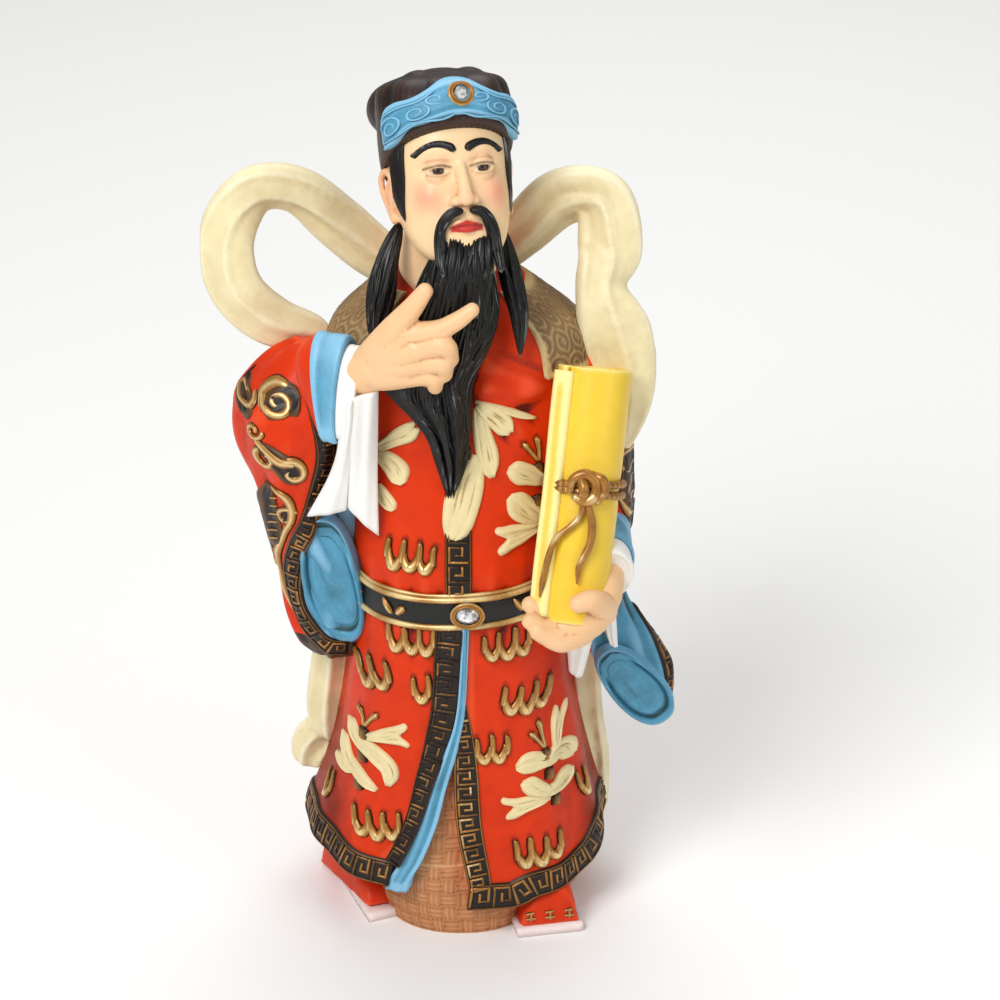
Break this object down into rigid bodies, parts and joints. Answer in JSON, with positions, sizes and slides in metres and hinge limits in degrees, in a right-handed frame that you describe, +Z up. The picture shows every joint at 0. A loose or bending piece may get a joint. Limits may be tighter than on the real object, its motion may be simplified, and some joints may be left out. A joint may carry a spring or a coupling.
{
  "type": "painted resin figurine",
  "caption": "Hand-painted cast figurine of a bearded court official in a red robe, holding a scroll, with a looped scarf, standing on its flat underside.",
  "frame": {"origin": "centre of the flat underside, under the middle of the robe", "axes": "+Z up through the figure, -Y towards the side it faces, +X towards the scroll"},
  "size_m": [0.1645, 0.1104, 0.309],
  "materials": {
    "painted_resin": "hand-painted enamel, satin, antiqued in the recesses",
    "clear_stone": "faceted and foil-backed"
  },
  "bodies": {
    "root": {"figure": "painted_resin", "cap_stone": "clear_stone", "belt_stone": "clear_stone"}
  },
  "joints": []
}
